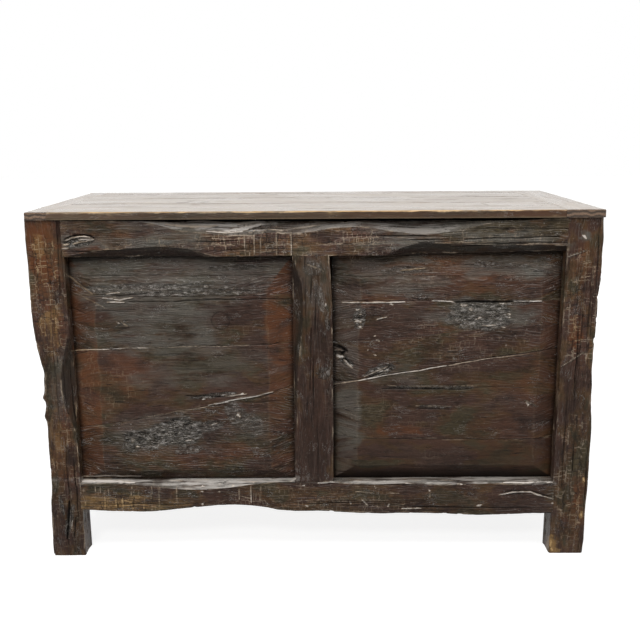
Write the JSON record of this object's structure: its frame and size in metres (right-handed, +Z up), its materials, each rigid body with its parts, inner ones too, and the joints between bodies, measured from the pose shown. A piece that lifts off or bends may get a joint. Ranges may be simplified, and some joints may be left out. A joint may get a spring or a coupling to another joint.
{
  "type": "sideboard",
  "caption": "Low wooden sideboard on post feet, with a waney framed back of bevelled panels, a plank top, and drawers above doors with iron ring pulls on the other long side.",
  "frame": {"origin": "centre of the part's box, at the floor that the feet stand on", "axes": "+X along the length, +Y towards the drawers and doors, so that the panelled back faces -Y, +Z up"},
  "size_m": [1.27, 0.56, 0.825],
  "materials": {
    "frame_wood": "dark worn lacquer over hewn wood",
    "panel_wood": "dark matt lacquer, rough sawn",
    "top_wood": "worn satin, smooth from use",
    "raw_wood": "bare, dry",
    "iron": "forged, blackened"
  },
  "bodies": {
    "case": {"post_back_left": "frame_wood", "post_back_right": "frame_wood", "post_front_left": "frame_wood", "post_front_right": "frame_wood", "back_top_rail": "frame_wood", "back_bottom_rail": "frame_wood", "back_muntin": "frame_wood", "left_top_rail": "frame_wood", "left_bottom_rail": "frame_wood", "right_top_rail": "frame_wood", "right_bottom_rail": "frame_wood", "front_top_rail": "frame_wood", "front_drawer_rail": "frame_wood", "front_bottom_rail": "frame_wood", "drawer_dividers": "frame_wood", "door_jambs": "frame_wood", "back_left_board_1": "panel_wood", "back_left_board_2": "panel_wood", "back_left_board_3": "panel_wood", "back_left_board_4": "panel_wood", "back_right_board_1": "panel_wood", "back_right_board_2": "panel_wood", "back_right_board_3": "panel_wood", "back_right_board_4": "panel_wood", "left_panel_boards": "panel_wood", "right_panel_boards": "panel_wood", "front_fixed_panels": "panel_wood", "top_end_left": "top_wood", "top_end_right": "top_wood", "top_plank_1": "top_wood", "top_plank_2": "top_wood", "top_plank_3": "top_wood", "top_plank_4": "top_wood", "top_battens": "raw_wood", "floor_boards": "raw_wood", "door_stops": "raw_wood", "runner_cross_rail": "raw_wood", "drawer_runners": "raw_wood"},
    "drawer_left": {"drawer_left_front": "frame_wood", "drawer_left_box": "raw_wood", "drawer_left_pull": "iron"},
    "drawer_left_ring": {"drawer_left_ring": "iron"},
    "drawer_middle": {"drawer_middle_front": "frame_wood", "drawer_middle_box": "raw_wood", "drawer_middle_pull": "iron"},
    "drawer_middle_ring": {"drawer_middle_ring": "iron"},
    "drawer_right": {"drawer_right_front": "frame_wood", "drawer_right_box": "raw_wood", "drawer_right_pull": "iron"},
    "drawer_right_ring": {"drawer_right_ring": "iron"},
    "door_left": {"door_left_stiles": "frame_wood", "door_left_rails": "frame_wood", "door_left_panel": "panel_wood", "door_left_pull": "iron"},
    "door_left_ring": {"door_left_ring": "iron"},
    "door_right": {"door_right_stiles": "frame_wood", "door_right_rails": "frame_wood", "door_right_panel": "panel_wood", "door_right_pull": "iron"},
    "door_right_ring": {"door_right_ring": "iron"}
  },
  "joints": [
    {"name": "drawer_left_slide", "type": "slide", "parent": "case", "child": "drawer_left", "axis": [0, 1, 0], "range_m": [0, 0.32]},
    {"name": "drawer_left_ring_swing", "type": "hinge", "parent": "drawer_left", "child": "drawer_left_ring", "pos_m": [-0.384, 0.2732, 0.7222], "axis": [1, 0, 0], "range_deg": [-6, 170]},
    {"name": "drawer_middle_slide", "type": "slide", "parent": "case", "child": "drawer_middle", "axis": [0, 1, 0], "range_m": [0, 0.32]},
    {"name": "drawer_middle_ring_swing", "type": "hinge", "parent": "drawer_middle", "child": "drawer_middle_ring", "pos_m": [0, 0.2732, 0.7222], "axis": [1, 0, 0], "range_deg": [-6, 170]},
    {"name": "drawer_right_slide", "type": "slide", "parent": "case", "child": "drawer_right", "axis": [0, 1, 0], "range_m": [0, 0.32]},
    {"name": "drawer_right_ring_swing", "type": "hinge", "parent": "drawer_right", "child": "drawer_right_ring", "pos_m": [0.384, 0.2732, 0.7222], "axis": [1, 0, 0], "range_deg": [-6, 170]},
    {"name": "door_left_hinge", "type": "hinge", "parent": "case", "child": "door_left", "pos_m": [-0.285, 0.253, 0.4], "axis": [0, 0, 1], "range_deg": [0, 92]},
    {"name": "door_left_ring_swing", "type": "hinge", "parent": "door_left", "child": "door_left_ring", "pos_m": [-0.025, 0.2732, 0.4315], "axis": [1, 0, 0], "range_deg": [-6, 170]},
    {"name": "door_right_hinge", "type": "hinge", "parent": "case", "child": "door_right", "pos_m": [0.285, 0.253, 0.4], "axis": [0, 0, -1], "range_deg": [0, 92]},
    {"name": "door_right_ring_swing", "type": "hinge", "parent": "door_right", "child": "door_right_ring", "pos_m": [0.025, 0.2732, 0.4315], "axis": [1, 0, 0], "range_deg": [-6, 170]}
  ]
}
